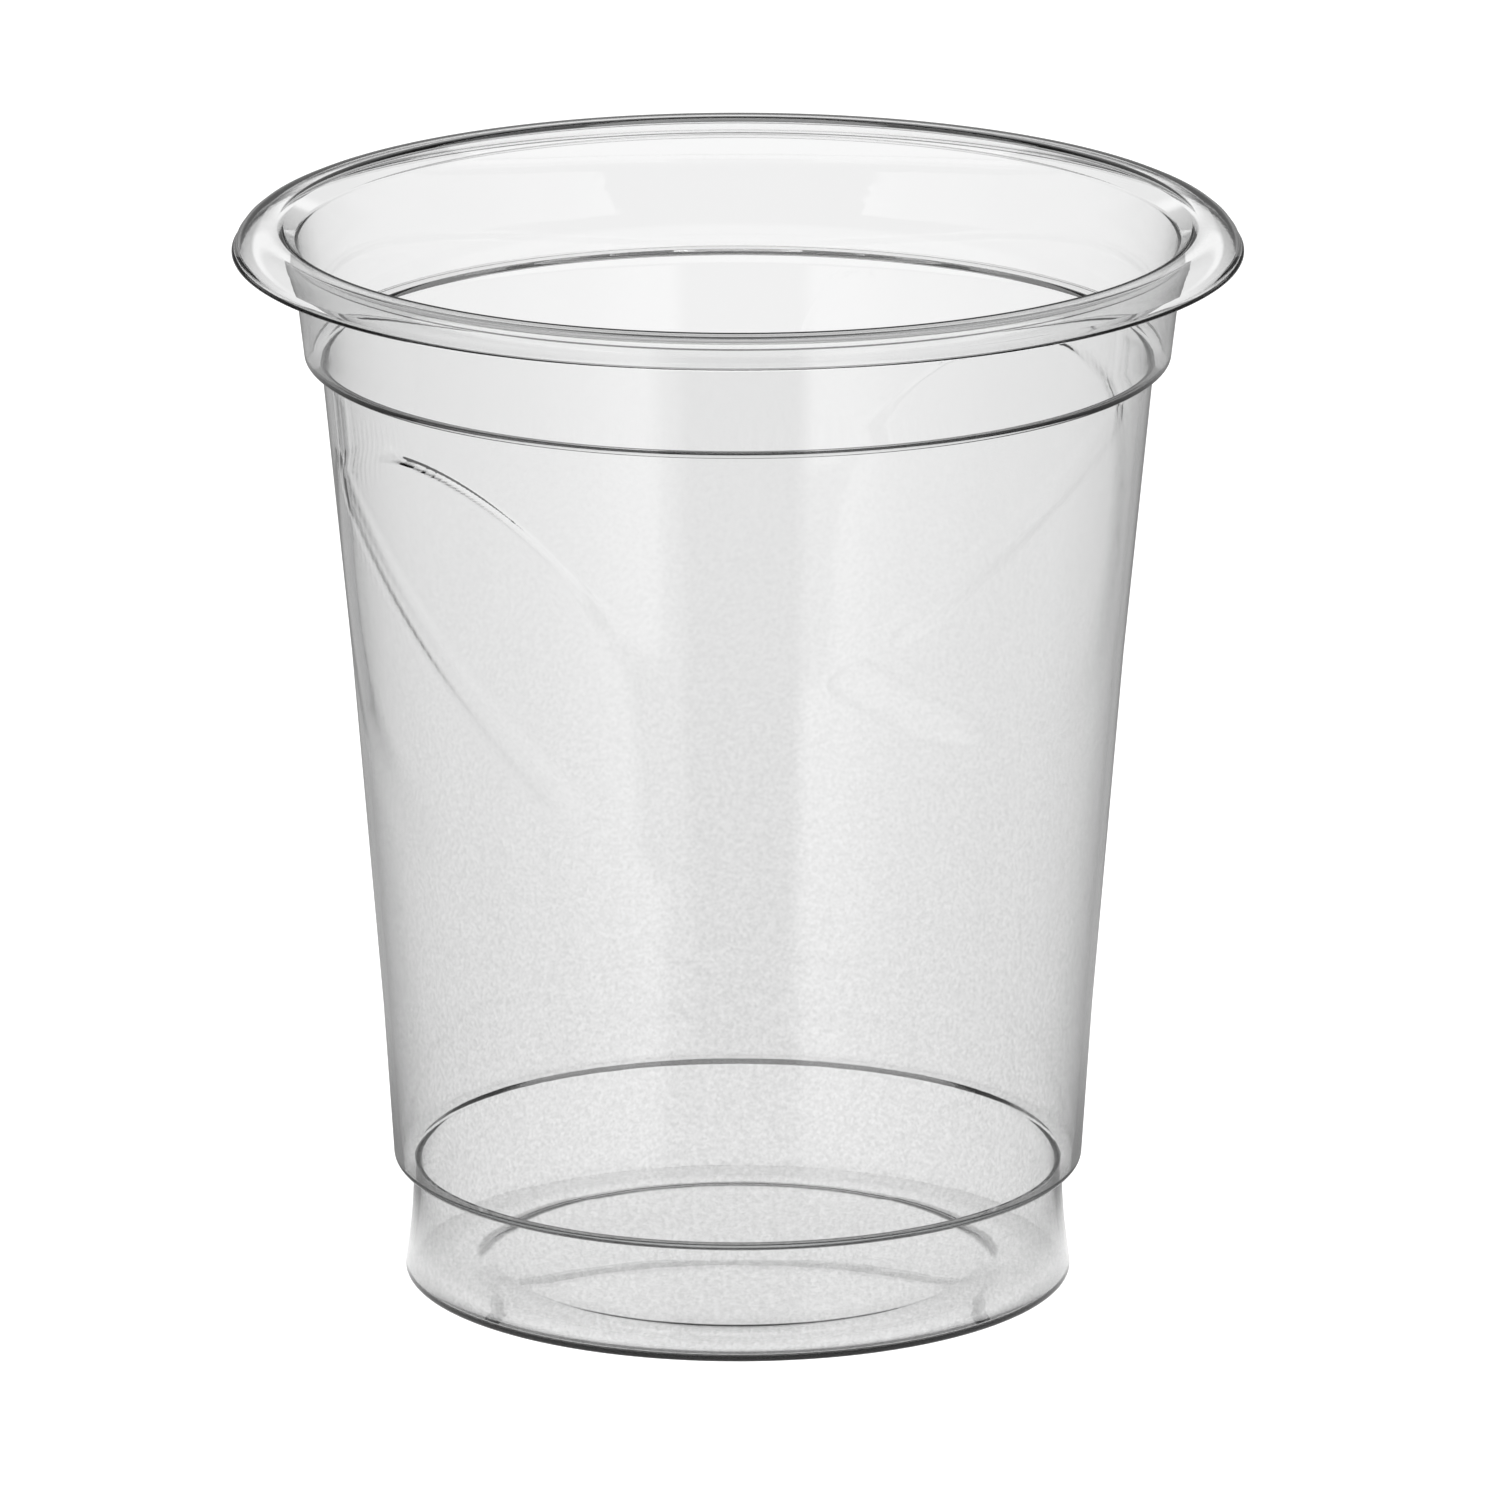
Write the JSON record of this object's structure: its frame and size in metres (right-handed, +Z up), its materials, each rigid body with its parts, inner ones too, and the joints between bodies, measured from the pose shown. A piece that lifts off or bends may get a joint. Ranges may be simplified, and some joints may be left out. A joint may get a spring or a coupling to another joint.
{
  "type": "plastic shot glass",
  "caption": "Clear disposable plastic shot glass, a tapered cup with a flared foot, a stacking ring, a turned-down lip and a leaf in relief on each side.",
  "frame": {"origin": "centre of the base, on the table", "axes": "+Z up along the cup's axis, -Y towards the camera of the picture, +X to its right"},
  "size_m": [0.0496, 0.0496, 0.0532],
  "materials": {
    "clear_plastic": "clear gloss"
  },
  "bodies": {
    "root": {"shot_glass": "clear_plastic"}
  },
  "joints": []
}
